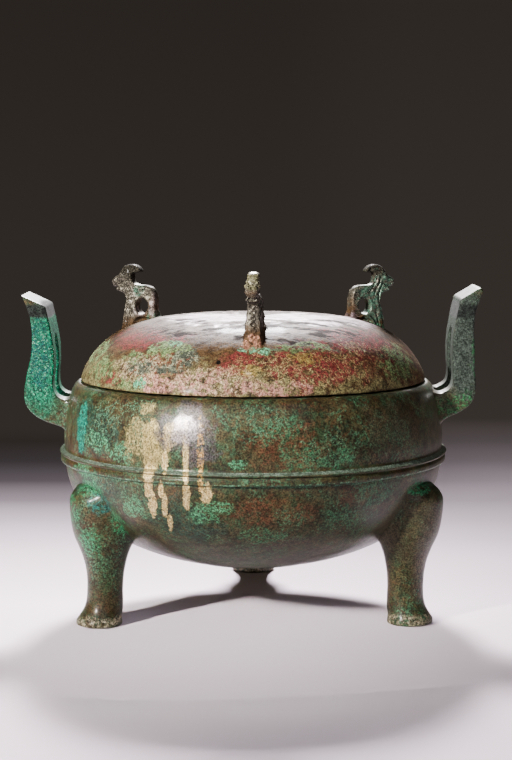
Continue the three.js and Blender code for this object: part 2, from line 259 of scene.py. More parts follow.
def leg(angle, lean):
    """One leg at an angle round the bowl, leaning outwards by some degrees at the top."""
    around = np.arange(LEG_SIDES) / LEG_SIDES * math.tau
    points = []
    for z, middle, radius in leg_line:
        hoof = max(0.0, 1 - z / 13)
        haunch = max(0.0, (radius - SHANK_RADIUS) / (HAUNCH_RADIUS - SHANK_RADIUS)) * (z > BELOW_JOIN_Z)
        outward = np.where(np.cos(around) > 0, radius - 0.7 * haunch,
                           radius - 1.2 * hoof * min(1, radius / 12))
        x = middle + math.tan(math.radians(lean)) * z + outward * np.cos(around)
        points.append(np.column_stack([x, radius * np.sin(around), np.full(LEG_SIDES, z)]))
    rings = np.vstack([points[0][:1]] + points[1:-1] + [points[-1][:1]])
    rings = turn_about_z(rings, angle)
    middles = turn_about_z(np.column_stack([leg_line[:, 1], 0 * leg_line[:, 0], leg_line[:, 0]]), angle)
    middles = np.vstack([middles[:1], np.repeat(middles[1:-1], LEG_SIDES, 0), middles[-1:]])
    # Near the belly the leg spreads in a lip, and what would reach the hollow ends inside the wall.
    radius = np.hypot(rings[:, 0], rings[:, 1])
    for i, (point, middle) in enumerate(zip(rings, middles)):
        if point[2] < BELOW_JOIN_Z:
            continue
        near, normal, _, _ = bowl_surface.find_nearest(point * MM)
        near, normal = np.array(near) / MM, np.array(normal)
        if np.dot(normal[:2], point[:2]) < 0:
            normal[:2] *= -1
        out = float(np.dot(point - near, normal))
        if out < -JOIN_DEPTH:
            rings[i] = near - JOIN_DEPTH * normal
        else:
            away = (point - middle) * (1, 1, 0.4)
            spread = JOIN_LIP["height"] * math.exp(-max(out, 0) / JOIN_LIP["reach"])
            rings[i] = point + away / max(1e-6, float(np.linalg.norm(away))) * spread
    return new_piece("leg", rings, loft_faces(len(leg_line), LEG_SIDES))


outer_skin = turned_piece("outer_skin", np.vstack([belly(0)[::12], upper_wall[1:], [(0, 123)]]), 180, None)
bowl_surface = BVHTree.FromObject(outer_skin, bpy.context.evaluated_depsgraph_get())
bpy.data.objects.remove(outer_skin)
legs = [leg(**place) for place in LEGS]

# ---- The ears ----
# Two upright loops that stand off the shoulder on bent arms, for a carrying pole or hooks. Each is a
# flat bar frame with a tall slot that runs down into its arms, cast on to the bowl's wall.

EARS = [{"angle": 0.0, "lift": 3.7, "bend": 117.9, "tip_round": 3.2},
        {"angle": 180.0, "lift": 0.0, "bend": 120.9, "tip_round": 0.6}]
EAR_WIDTH = {"top": 37, "bottom": 43}
EAR_BAR = 12  # width of each bar of the frame
EAR_SLOT_TOP_Z = 147
EAR_EDGE = 1.1  # rounding of the cast edges
EAR_CELL = 0.9


def distance_to_outline(outline, u, v):
    """Signed distance from each grid point to a closed outline, negative inside it."""
    gu, gv = np.meshgrid(u, v, indexing="ij")
    best = np.full(gu.shape, 1e9)
    inside = np.zeros(gu.shape, bool)
    for (au, av), (bu, bv) in zip(outline, np.roll(outline, -1, axis=0)):
        eu, ev = bu - au, bv - av
        t = np.clip(((gu - au) * eu + (gv - av) * ev) / max(eu * eu + ev * ev, 1e-9), 0, 1)
        best = np.minimum(best, np.hypot(gu - au - t * eu, gv - av - t * ev))
        with np.errstate(divide="ignore", invalid="ignore"):
            cross = (av > gv) != (bv > gv)
            inside ^= cross & (gu < au + (gv - av) / (bv - av) * eu)
    return np.where(inside, -best, best)


def distance_to_route(route, u, v):
    """Distance from each grid point to an open line."""
    gu, gv = np.meshgrid(u, v, indexing="ij")
    best = np.full(gu.shape, 1e9)
    for (au, av), (bu, bv) in zip(route[:-1], route[1:]):
        eu, ev = bu - au, bv - av
        t = np.clip(((gu - au) * eu + (gv - av) * ev) / max(eu * eu + ev * ev, 1e-9), 0, 1)
        best = np.minimum(best, np.hypot(gu - au - t * eu, gv - av - t * ev))
    return best


def common(a, b, edge):
    """The part inside both fields, with its edges rounded."""
    a, b = a + edge, b + edge
    return np.minimum(np.maximum(a, b), 0) + np.hypot(np.maximum(a, 0), np.maximum(b, 0)) - edge


def joined(a, b, blend):
    """The part inside either field, with a soft join."""
    mix = np.maximum(blend - np.abs(a - b), 0) / blend
    return np.minimum(a, b) - mix * mix * blend / 4


def skin_of(field, axes):
    """Points and faces of the closed skin where a field sampled on a grid crosses zero."""
    inside = field < 0
    total = np.zeros(tuple(n - 1 for n in field.shape) + (3,))
    count = np.zeros(total.shape[:3])
    for axis in range(3):
        others = [a for a in range(3) if a != axis]
        for i in (0, 1):
            for j in (0, 1):
                offset = np.zeros(3, int)
                offset[others[0]], offset[others[1]] = i, j
                start = tuple(slice(o, o + n - 1) for o, n in zip(offset, field.shape))
                offset[axis] = 1
                end = tuple(slice(o, o + n - 1) for o, n in zip(offset, field.shape))
                a, b = field[start], field[end]
                cut = inside[start] != inside[end]
                offset[axis] = 0
                share = np.where(cut, a / np.where(cut, a - b, 1), 0)
                where = [np.full(cut.shape, float(o)) for o in offset]
                where[axis] = share
                for k in range(3):
                    total[..., k] += np.where(cut, where[k], 0)
                count += cut
    used = count > 0
    number = np.full(used.shape, -1)
    number[used] = np.arange(used.sum())
    base = np.argwhere(used)
    steps = np.array([axis[1] - axis[0] for axis in axes])
    points = (base + total[used] / count[used][:, None]) * steps + np.array([axis[0] for axis in axes])
    faces = []
    for axis in range(3):
        low = [slice(None)] * 3
        high = [slice(None)] * 3
        low[axis], high[axis] = slice(0, -1), slice(1, None)
        a, b = inside[tuple(low)], inside[tuple(high)]
        u, v = (axis + 1) % 3, (axis + 2) % 3
        for mask, flip in ((a & ~b, False), (~a & b, True)):
            cells = np.argwhere(mask)
            quad = []
            for du, dv in ((0, 0), (-1, 0), (-1, -1), (0, -1)):
                cell = cells.copy()
                cell[:, u] += du
                cell[:, v] += dv
                quad.append(number[tuple(cell.T)])
            quad = np.column_stack(quad)
            faces.append(quad[:, ::-1] if flip else quad)
    return points, np.vstack(faces)


def ear(angle, lift, bend, tip_round):
    """One ear, raised by lift, whose lower bend reaches out to bend, with its outer tip worn round."""
    side = np.vstack([
        [(84, 98.0), (99.7, 99.0)],
        smooth_line([(99.7, 99.4), (bend - 13.6, 101.7), (bend - 6.3, 105.2), (bend - 1.3, 110.6),
                     (bend, 117.4), (0.7 * bend + 34.8, 127.5), (117.1, 137.4), (116.6, 147.1),
                     (117.3, 155.8), (119, 161.6), (122.5 - 0.35 * tip_round, 170 - 0.9 * tip_round)],
                    2.0),
        [(122.5 - 0.5 * tip_round, 170 - 0.1 * tip_round), (122.5 - 1.1 * tip_round, 170 - 0.1)]
        if tip_round > 1 else [(122.5, 170)],
        smooth_line([(108.9, 163.7), (106.6, 153), (104.9, 142), (104.7, 132), (105.3, 122.6),
                     (103.9, 117.2), (99.2, 114.3)], 2.0),
        [(84, 113.0)]])
    top, bottom = EAR_WIDTH["top"] / 2, EAR_WIDTH["bottom"] / 2
    arch = top - EAR_BAR
    turn = np.linspace(0, math.pi, 13)
    slot = [(-arch * math.cos(t), EAR_SLOT_TOP_Z - arch + arch * math.sin(t)) for t in turn]
    face = np.array([(-bottom, 95), (EAR_BAR - bottom, 95), *slot, (bottom - EAR_BAR, 95), (bottom, 95),
                     (top, 172), (-top, 172)])
    x, y, z = (np.arange(a, b, EAR_CELL) for a, b in ((88, 125), (-24, 24), (96, 173)))
    side_field = distance_to_outline(side, x, z)[:, None, :]
    face_field = distance_to_outline(face, y, z)[None, :, :]
    field = common(side_field, face_field, EAR_EDGE)
    out = np.hypot(x[:, None, None], y[None, :, None]) - bowl_radius_at(z + lift)[None, None, :]
    field = field - JOIN_LIP["height"] * np.exp(-np.maximum(out, 0) / JOIN_LIP["reach"])
    field = np.maximum(field, -JOIN_DEPTH - out)
    points, faces = skin_of(field, (x, y, z + lift))
    return new_piece("ear", turn_about_z(points, angle), faces.tolist())


ears = [ear(**place) for place in EARS]

# ---- The vessel as one casting ----
# Bowl, legs and ears are one piece of metal. Its surface is smooth brown to olive patina with green
# malachite growths, turquoise crystals on one ear, and polish-bright bronze showing where it ran down.

VESSEL_SWELL = {"Swell Depth": 0.35 * MM, "Swell Size": 38 * MM, "Pit Depth": 0.16 * MM,
                "Pit Size": 5 * MM, "Seed": 3.0}


def one_casting(body, parts):
    """Joins cast-on parts to a body as one closed mesh, and removes the loose parts."""
    for part in parts:
        joint = body.modifiers.new("cast_on", "BOOLEAN")
        joint.operation, joint.solver, joint.object = "UNION", "MANIFOLD", part
    as_mesh(body)
    for part in parts:
        bpy.data.objects.remove(part)
    return body


def shaded(piece, degrees):
    """Smooth shading that keeps edges sharper than the angle."""
    piece.data.shade_smooth()
    piece.data.set_sharp_from_angle(angle=math.radians(degrees))
    return piece

# The patina is built up in coats over the bare alloy. Each coat has its colours, roughness, metal and
# height in millimetres. It grows in spots of its own size, which gather in clusters, and may be held
# to some places on the piece.

def colour(hexed):
    """A linear colour from an sRGB hex value."""
    parts = [int(hexed[i:i + 2], 16) / 255 for i in (0, 2, 4)]
    return tuple(c / 12.92 if c <= 0.04045 else ((c + 0.055) / 1.055) ** 2.4 for c in parts) + (1.0,)


def shader_group(name, inputs):
    """An empty shader group with the named inputs and one mask as its output."""
    group = bpy.data.node_groups.new(name, "ShaderNodeTree")
    for label, kind in inputs:
        group.interface.new_socket(name=label, in_out="INPUT", socket_type="NodeSocket" + kind)
    group.interface.new_socket(name="Mask", in_out="OUTPUT", socket_type="NodeSocketFloat")
    return group


# Spots: a noise of the given size in metres, cut off so that about Cover of the surface is in them.
# With Lace at one, only the rims of the spots are left, as where a crust has grown in rings.
spots = shader_group("patina_spots", [("Place", "Vector"), ("Size", "Float"), ("Seed", "Float"),
                                      ("Cover", "Float"), ("Soft", "Float"), ("Lace", "Float")])
given = add(spots, "NodeGroupInput").outputs
fineness = add(spots, "ShaderNodeMath", {0: 1.0, 1: given["Size"]}, operation="DIVIDE")
noise = add(spots, "ShaderNodeTexNoise", {"Vector": given["Place"], "W": given["Seed"],
                                          "Scale": fineness.outputs[0], "Detail": 4.0, "Roughness": 0.65},
            noise_dimensions="4D")
level = add(spots, "ShaderNodeMapRange", {"Value": given["Cover"], "To Min": 0.72, "To Max": 0.28})
low = add(spots, "ShaderNodeMath", {0: level.outputs[0], 1: given["Soft"]}, operation="SUBTRACT")
high = add(spots, "ShaderNodeMath", {0: level.outputs[0], 1: given["Soft"]}, operation="ADD")
whole = add(spots, "ShaderNodeMapRange", {"Value": noise.outputs[0], "From Min": low.outputs[0],
                                          "From Max": high.outputs[0]}, interpolation_type="SMOOTHSTEP")
off = add(spots, "ShaderNodeMath", {0: noise.outputs[0], 1: level.outputs[0]}, operation="SUBTRACT")
off = add(spots, "ShaderNodeMath", {0: off.outputs[0]}, operation="ABSOLUTE")
rim = add(spots, "ShaderNodeMapRange", {"Value": off.outputs[0], "From Min": given["Soft"],
                                        "From Max": 0.0}, interpolation_type="SMOOTHSTEP")
cut = add(spots, "ShaderNodeMix", {0: given["Lace"], 2: whole.outputs[0], 3: rim.outputs[0]})
add(spots, "NodeGroupOutput", {"Mask": cut.outputs[0]})

# Patch: an oval place with a ragged edge, one in its middle and nothing outside it.
patch = shader_group("patina_patch", [("Place", "Vector"), ("Centre", "Vector"), ("Reach", "Vector"),
                                      ("Ragged", "Float"), ("Ragged Size", "Float")])
given = add(patch, "NodeGroupInput").outputs
from_centre = add(patch, "ShaderNodeVectorMath", {0: given["Place"], 1: given["Centre"]},
                  operation="SUBTRACT")
by_reach = add(patch, "ShaderNodeVectorMath", {0: from_centre.outputs[0], 1: given["Reach"]},
               operation="DIVIDE")
away = add(patch, "ShaderNodeVectorMath", {0: by_reach.outputs[0]}, operation="LENGTH")
fineness = add(patch, "ShaderNodeMath", {0: 1.0, 1: given["Ragged Size"]}, operation="DIVIDE")
noise = add(patch, "ShaderNodeTexNoise", {"Vector": given["Place"], "Scale": fineness.outputs[0],
                                          "Detail": 4.0, "Roughness": 0.6})
wander = add(patch, "ShaderNodeMath", {0: noise.outputs[0], 1: 0.5}, operation="SUBTRACT")
wander = add(patch, "ShaderNodeMath", {0: wander.outputs[0], 1: given["Ragged"],
                                       2: away.outputs["Value"]}, operation="MULTIPLY_ADD")
cut = add(patch, "ShaderNodeMapRange", {"Value": wander.outputs[0], "From Min": 1.0, "From Max": 0.7},
          interpolation_type="SMOOTHSTEP")
add(patch, "NodeGroupOutput", {"Mask": cut.outputs[0]})


def patinated(material, coats, relief):
    """Builds a patinated bronze from its coats, the first of which covers everything."""
    material.use_nodes = True
    tree = material.node_tree
    surface = tree.nodes["Principled BSDF"]
    place = add(tree, "ShaderNodeTexCoord").outputs["Object"]

    def spotted(at, size, seed, cover, soft, lace=0.0):
        return add(tree, "ShaderNodeGroup", {"Place": at, "Size": size * MM, "Seed": seed, "Cover": cover,
                                             "Soft": soft, "Lace": lace}, node_tree=spots).outputs[0]

    def both(a, b, operation="MULTIPLY"):
        return add(tree, "ShaderNodeMath", {0: a, 1: b}, operation=operation).outputs[0]

    shade, rough, metal, height = None, None, None, None
    for seed, coat in enumerate(coats):
        drawn = add(tree, "ShaderNodeVectorMath", {0: place, 1: coat.get("stretch", (1, 1, 1))},
                    operation="MULTIPLY").outputs[0]
        tone = spotted(drawn, coat.get("tone_size", coat["size"] * 0.4), seed + 20.0, 0.5, 0.16)
        own = add(tree, "ShaderNodeMix", {0: tone, 6: colour(coat["colours"][0]),
                                          7: colour(coat["colours"][1])}, data_type="RGBA").outputs[2]
        if shade is None:
            shade, rough, metal, height = own, coat["rough"], coat["metal"], coat["height"]
            continue
        mask = spotted(drawn, coat["size"], float(seed), coat["cover"], coat["soft"], coat.get("lace", 0.0))
        if "cluster" in coat:
            size, cover, soft = coat["cluster"]
            mask = both(mask, spotted(place, size, seed + 40.0, cover, soft))
        places = None
        for centre, reach in coat.get("where", ()):
            here = add(tree, "ShaderNodeGroup",
                       {"Place": place, "Centre": [c * MM for c in centre], "Reach": [r * MM for r in reach],
                        "Ragged": coat.get("ragged", 1.2), "Ragged Size": coat.get("ragged_size", 9) * MM},
                       node_tree=patch).outputs[0]
            places = here if places is None else both(places, here, "MAXIMUM")
        if places is not None:
            mask = both(mask, places)
        mask = both(mask, coat.get("strength", 1.0))
        shade = add(tree, "ShaderNodeMix", {0: mask, 6: shade, 7: own}, data_type="RGBA").outputs[2]
        rough, metal, height = (
            add(tree, "ShaderNodeMix", {0: mask, 2: under, 3: over}).outputs[0]
            for under, over in ((rough, coat["rough"]), (metal, coat["metal"]), (height, coat["height"])))
    grain = add(tree, "ShaderNodeTexNoise", {"Vector": place, "Scale": 1 / (relief["grain_size"] * MM),
                                             "Detail": 3.0, "Roughness": 0.6}).outputs[0]
    slow = add(tree, "ShaderNodeTexNoise", {"Vector": place, "Scale": 1 / (relief["wave_size"] * MM),
                                            "Detail": 2.0}).outputs[0]
    light = add(tree, "ShaderNodeMapRange", {"Value": grain, "From Min": 0.36, "From Max": 0.64,
                                             "To Min": 1 - relief["grain_shade"],
                                             "To Max": 1 + relief["grain_shade"]}).outputs[0]
    shade = add(tree, "ShaderNodeVectorMath", {0: shade, "Scale": light}, operation="SCALE").outputs[0]
    for wave, depth in ((grain, relief["grain_height"]), (slow, relief["wave_height"])):
        height = add(tree, "ShaderNodeMath", {0: wave, 1: depth, 2: height},
                     operation="MULTIPLY_ADD").outputs[0]
    bump = add(tree, "ShaderNodeBump", {"Height": height, "Distance": MM, "Strength": 1.0}).outputs[0]
    rough = add(tree, "ShaderNodeMath", {0: grain, 1: relief["grain_rough"], 2: rough},
                operation="MULTIPLY_ADD").outputs[0]
    for name, value in {"Base Color": shade, "Metallic": metal, "Roughness": rough, "Normal": bump}.items():
        tree.links.new(value, surface.inputs[name])
    surface.inputs["Coat Weight"].default_value = relief["wax"]  # conservator's wax
    surface.inputs["Coat Roughness"].default_value = 0.15
    surface.inputs["Specular IOR Level"].default_value = relief["gloss"]


BOWL_COATS = [
    # smooth tin-rich patina over the whole casting, brown to olive
    {"colours": ("271d10", "3f3923"), "rough": 0.34, "metal": 0.15, "height": 0.0, "size": 26},
    # olive green bloom
    {"colours": ("172514", "2f4029"), "rough": 0.4, "metal": 0.1, "height": 0.02, "size": 2.4,
     "cover": 0.5, "soft": 0.1, "cluster": (24, 0.6, 0.08), "tone_size": 0.9},
    {"colours": ("0a221b", "244337"), "rough": 0.45, "metal": 0.05, "height": 0.02, "size": 1.5,
     "cover": 0.58, "soft": 0.07, "ragged": 1.8, "tone_size": 0.9, "strength": 0.8,
     "where": [((-80, -58, 104), (22, 30, 15)), ((-78, -60, 76), (26, 24, 9)),
               ((-36, -88, 62), (26, 14, 16))]},
    # red-brown cuprite in small spots
    {"colours": ("391a10", "54301d"), "rough": 0.45, "metal": 0.1, "height": -0.02, "size": 1.3,
     "cover": 0.42, "soft": 0.07, "cluster": (14, 0.42, 0.06), "strength": 0.5},
    {"colours": ("542919", "64392a"), "rough": 0.45, "metal": 0.1, "height": -0.02, "size": 1.5,
     "cover": 0.5, "soft": 0.08, "strength": 0.45, "ragged": 1.9, "ragged_size": 6,
     "where": [((20, -98, 100), (22, 12, 12)), ((4, -96, 70), (16, 12, 9)), ((24, -96, 66), (12, 12, 7))]},
    # dark stains between the growths
    {"colours": ("0b0906", "16140c"), "rough": 0.4, "metal": 0.1, "height": 0.0, "size": 1.5,
     "cover": 0.42, "soft": 0.06, "cluster": (12, 0.6, 0.1), "strength": 0.75},
    {"colours": ("0a0906", "15130c"), "rough": 0.4, "metal": 0.1, "height": 0.0, "size": 5,
     "cover": 0.4, "soft": 0.05, "cluster": (30, 0.55, 0.1), "strength": 0.55},
    # malachite: grey-green crust in scattered specks, rings and crusts
    {"colours": ("1b452b", "437153"), "rough": 0.6, "metal": 0.0, "height": 0.06, "size": 1.2,
     "cover": 0.42, "soft": 0.06, "cluster": (13, 0.42, 0.06), "strength": 0.6},
    {"colours": ("184a31", "558466"), "rough": 0.6, "metal": 0.0, "height": 0.08, "size": 4,
     "cover": 0.5, "soft": 0.025, "lace": 1.0, "ragged": 1.9, "ragged_size": 6, "tone_size": 1.0,
     "strength": 0.85,
     "where": [((-74, -68, 110), (13, 15, 11)), ((-80, -60, 78), (18, 18, 6)), ((10, -98, 112), (12, 10, 8)),
               ((-58, -78, 118), (14, 14, 4)), ((-57, -80, 106), (7, 9, 12)), ((36, -92, 98), (16, 12, 12))]},
    {"colours": ("0c492c", "4c8a63"), "rough": 0.6, "metal": 0.0, "height": 0.08, "size": 1.3,
     "cover": 0.48, "soft": 0.07, "ragged": 2.0, "ragged_size": 6, "strength": 0.85,
     "where": [((-78, -62, 98), (10, 14, 7)), ((-66, -76, 94), (8, 12, 6)), ((-84, -54, 82), (14, 14, 4)),
               ((-17, -96, 70), (9, 12, 4)), ((-6, -98, 92), (7, 12, 3)), ((-60, -80, 66), (8, 12, 7)),
               ((-24, -94, 66), (8, 12, 5))]},
    {"colours": ("0e4529", "3b7050"), "rough": 0.6, "metal": 0.0, "height": 0.06, "size": 1.3,
     "cover": 0.48, "soft": 0.08, "ragged": 2.0, "ragged_size": 7, "strength": 0.55,
     "where": [((12, -98, 109), (13, 10, 8)), ((24, -95, 95), (16, 12, 7)), ((4, -90, 55), (12, 14, 7)),
               ((40, -90, 94), (12, 12, 7)), ((62, -78, 74), (16, 16, 7)), ((44, -84, 62), (12, 14, 8)),
               ((70, -66, 104), (12, 18, 8))]},
    # green along the ring and under it
    {"colours": ("1b5338", "668c74"), "rough": 0.6, "metal": 0.0, "height": 0.04, "size": 1.5,
     "cover": 0.46, "soft": 0.08, "where": [((0, 0, 81.2), (300, 300, 1.3))],
     "ragged": 1.0, "strength": 0.75},
    # the ring's upper edge, rubbed to shinier metal and painted paler: a painted highlight line along its top
    {"colours": ("46584a", "7f8f80"), "rough": 0.34, "metal": 0.5, "height": 0.0, "size": 4,
     "cover": 0.7, "soft": 0.2, "where": [((0, 0, 87.3), (300, 300, 0.8))], "ragged": 0.3, "strength": 0.85},
    # a smoother, lighter brown film down the right side and right leg: partly patina, partly painted light
    # that lifts the shaded side
    {"colours": ("2d271a", "433c2c"), "rough": 0.42, "metal": 0.1, "height": 0.0, "size": 9,
     "cover": 0.75, "soft": 0.3, "ragged": 1.6, "ragged_size": 14, "strength": 0.62,
     "where": [((104, -10, 96), (34, 66, 34)), ((70, -70, 106), (20, 24, 18)),
               ((84, -54, 52), (26, 30, 26))]},
    # blue-green crystals down the left side
    {"colours": ("00372e", "006f5a"), "rough": 0.5, "metal": 0.0, "height": 0.1, "size": 1.6,
     "cover": 0.66, "soft": 0.1, "where": [((-87.5, -49, 105), (4.6, 7, 16))], "ragged": 1.9,
     "ragged_size": 5, "tone_size": 0.9},
    # haunches: green outside
    {"colours": ("004627", "38845b"), "rough": 0.5, "metal": 0.05, "height": 0.06, "size": 1.6,
     "cover": 0.5, "soft": 0.08, "ragged": 1.9, "ragged_size": 6, "strength": 0.85, "tone_size": 0.9,
     "where": [((-98, -58, 62), (10, 14, 15)), ((-80, -54, 73), (14, 12, 5)), ((-68, -56, 60), (6, 10, 12)),
               ((84, -54, 73), (10, 12, 4)), ((64, -50, 60), (4, 12, 12)), ((0, 106, 62), (16, 10, 16)),
               ((-84, -60, 44), (8, 10, 10))]},
    {"colours": ("003b35", "00675e"), "rough": 0.4, "metal": 0.1, "height": 0.03, "size": 1.6,
     "cover": 0.5, "soft": 0.1, "ragged": 1.7, "ragged_size": 6, "strength": 0.6,
     "where": [((-78, -62, 66), (8, 10, 6)), ((-62, -56, 58), (4, 8, 5))]},
    # crystals that cover the left ear
    {"colours": ("002217", "006547"), "rough": 0.5, "metal": 0.0, "height": 0.12, "size": 2,
     "cover": 0.95, "soft": 0.09, "where": [((-112, 0, 134), (17, 40, 40))], "ragged": 0.4, "tone_size": 1.1},
    {"colours": ("002224", "003c3c"), "rough": 0.45, "metal": 0.0, "height": 0.08, "size": 1.8,
     "cover": 0.54, "soft": 0.08, "where": [((-113, 0, 140), (8, 40, 28))], "ragged": 1.0, "strength": 0.8},
    {"colours": ("2a7254", "618f78"), "rough": 0.5, "metal": 0.0, "height": 0.08, "size": 1.1,
     "cover": 0.3, "soft": 0.05, "where": [((-112, 0, 134), (17, 40, 40))], "ragged": 0.4,
     "strength": 0.8},
    # thin dark grey-green film on the right ear
    {"colours": ("171e18", "39423b"), "rough": 0.5, "metal": 0.15, "height": 0.02, "size": 3,
     "cover": 0.85, "soft": 0.1, "where": [((112, 0, 142), (17, 40, 42))], "ragged": 0.5, "tone_size": 1.2},
    {"colours": ("0a401f", "2d633a"), "rough": 0.6, "metal": 0.0, "height": 0.06, "size": 1.6,
     "cover": 0.46, "soft": 0.08, "where": [((112, 0, 110), (20, 40, 12)), ((119, 0, 135), (5, 40, 20))],
     "ragged": 1.2, "strength": 0.8},
    # bare golden bronze where it was wiped or dripped on
    {"colours": ("574d2c", "8a7f52"), "rough": 0.4, "metal": 0.4, "height": -0.04, "size": 1.2,
     "cover": 0.6, "soft": 0.1, "stretch": (1, 1, 0.6), "ragged": 1.9, "ragged_size": 5, "tone_size": 0.8,
     "where": [((-58, -83, 102), (8, 9, 12)), ((-44, -90, 96), (4, 9, 6)), ((-53, -86, 118), (5, 9, 5))]},
    {"colours": ("6b5d32", "918355"), "rough": 0.4, "metal": 0.5, "height": -0.05, "size": 1.3,
     "cover": 0.78, "soft": 0.1, "stretch": (1, 1, 0.3), "ragged": 1.3, "ragged_size": 4, "tone_size": 0.9,
     "where": [((-49.5, -87.5, 101), (5.4, 9, 15)), ((-50, -88, 91), (4.6, 8, 6))]},
    {"colours": ("8b723e", "bcab7a"), "rough": 0.38, "metal": 0.5, "height": -0.05, "size": 1.2,
     "cover": 0.72, "soft": 0.1, "stretch": (1, 1, 0.35), "ragged": 1.7, "ragged_size": 3, "tone_size": 0.9,
     "where": [((-41.5, -91.5, 104), (2.8, 9, 8)), ((-37.8, -93, 107), (4.2, 9, 6)),
               ((-43.2, -91, 93), (1.9, 9, 7)), ((-32.8, -95.5, 100), (1.9, 9, 15)),
               ((-32.8, -97, 86), (1.7, 9, 9)), ((-32.4, -96, 75), (2.0, 9, 9)),
               ((-22.5, -97.5, 77), (3.6, 9, 6)), ((-51.5, -85.5, 79), (2.6, 9, 8)),
               ((-49.6, -84.5, 69), (2.3, 9, 8)), ((-45, -88, 79), (1.9, 9, 6)),
               ((-43.5, -87, 70), (1.7, 9, 9)), ((-41, -85, 61), (1.4, 9, 7)),
               ((-51, -87, 86), (3.4, 9, 6))]},
    {"colours": ("946211", "c1a264"), "rough": 0.38, "metal": 0.5, "height": -0.05, "size": 1.5,
     "cover": 0.5, "soft": 0.06, "ragged": 1.2, "ragged_size": 4,
     "where": [((-25.6, -97.5, 100), (1.9, 9, 17)), ((-25.4, -98, 86), (1.6, 9, 9))]},
    # painted highlight: lilac-grey, shinier metal painted round where the left-front lamp's highlight falls,
    # paler and shinier at its core
    {"colours": ("343032", "4e494c"), "rough": 0.27, "metal": 0.6, "height": 0.0, "size": 1.4,
     "cover": 0.66, "soft": 0.16, "ragged": 2.2, "ragged_size": 9, "strength": 0.75,
     "where": [((-35, -94, 109), (20, 14, 14)), ((-25, -97, 99), (9, 12, 11))]},
    {"colours": ("5b5556", "7f787a"), "rough": 0.24, "metal": 0.7, "height": 0.0, "size": 2.5,
     "cover": 0.8, "soft": 0.2, "ragged": 1.4, "ragged_size": 5, "strength": 0.8,
     "where": [((-33, -95, 108), (9, 10, 8))]},
    # the tops of the ears, painted near-black and rough: painted shade that dims the back light on them
    {"colours": ("070a09", "212622"), "rough": 0.8, "metal": 0.0, "height": 0.03, "size": 3,
     "cover": 0.9, "soft": 0.1, "ragged": 0.2, "tone_size": 1.4,
     "where": [((-112, 0, 161), (24, 40, 5)), ((112, 0, 161), (24, 40, 5))]},
    # ochre soil left at the hooves
    {"colours": ("58503c", "8d8670"), "rough": 0.75, "metal": 0.0, "height": 0.06, "size": 2,
     "cover": 0.48, "soft": 0.08, "where": [((0, 0, 0), (300, 300, 7))], "ragged": 0.9},
]
BOWL_RELIEF = {"grain_size": 0.8, "grain_shade": 0.65, "grain_height": 0.06, "grain_rough": 0.14,
               "wave_size": 10, "wave_height": 0.16, "wax": 0.1, "gloss": 0.12}

patinated(bowl_patina, BOWL_COATS, BOWL_RELIEF)
one_casting(bowl, legs + ears)
through_tree(bowl, skin_tree, **VESSEL_SWELL, **{"Material": bowl_patina})
shaded(bowl, 60)
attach(bowl, "root")
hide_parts("vessel")

# ---- The lid ----
# A thin domed lid, cast 2.6 mm thick, whose edge drops over the bowl's mouth and rests just above the
# shoulder.

LID_EDGE_Z, LID_RADIUS, LID_RISE, LID_WALL = 123.7, 92.3, 34.3, 2.6
LID_ACROSS, LID_UP = 4.4, 1.43
LID_SIDES = 260


def dome(radius, rise, floor):
    """Radius and height of the dome from its edge to its middle."""
    share = np.cos(np.linspace(0, math.pi / 2, 900)) ** 0.6
    return np.column_stack([radius * share, floor + rise * (1 - share**LID_ACROSS) ** (1 / LID_UP)])


dome_outside = dome(LID_RADIUS, LID_RISE, LID_EDGE_Z)


def lid_height_at(radius):
    """Height of the lid's outside at a distance from its axis."""
    return np.interp(radius, dome_outside[::-1, 0], dome_outside[::-1, 1])


# The profile runs from under the lid's middle down the inside, round its edge and up the outside.
outside_run = respaced(dome_outside[dome_outside[:, 1] > 124.6], 1.55)
inside_run = respaced(dome(LID_RADIUS - LID_WALL, LID_RISE - LID_WALL, LID_EDGE_Z + 0.6), 5.0)[::-1]
edge_run = [(89.5, 124.2), (89.9, 123.85), (90.6, 123.72), (91.5, 123.75), (92.05, 124.05)]
lid_profile = np.vstack([inside_run[:-1], edge_run, outside_run])
lid_profile[[0, -1], 0] = 0.0
lid_patina = bpy.data.materials.new("patinated_bronze_lid")
lid = turned_piece("cast_lid", lid_profile, LID_SIDES, lid_patina)

# ---- The beasts on the lid ----
# Three small horned beasts bent round a finger hole, looking outwards with open mouths. Each is a flat
# casting in the round, with mane lines, a curled hollow horn, a banded rump and a sunk web at its foot.

BEASTS = [{"angle": -89.0, "radius": 64.0, "lift": 0.5, "turn": -8.0},
          {"angle": 24.0, "radius": 67.3, "lift": 0.0, "turn": 0.0},
          {"angle": 156.0, "radius": 67.3, "lift": 0.0, "turn": 0.0}]
BEAST_CELL = 0.4
BEAST_EDGE = 1.7
LOOP_HOLE = {"w": -1.9, "z": 160.9, "half_width": 3.5, "half_height": 4.1}
BEAST_LIP = {"height": 0.5, "reach": 0.8}
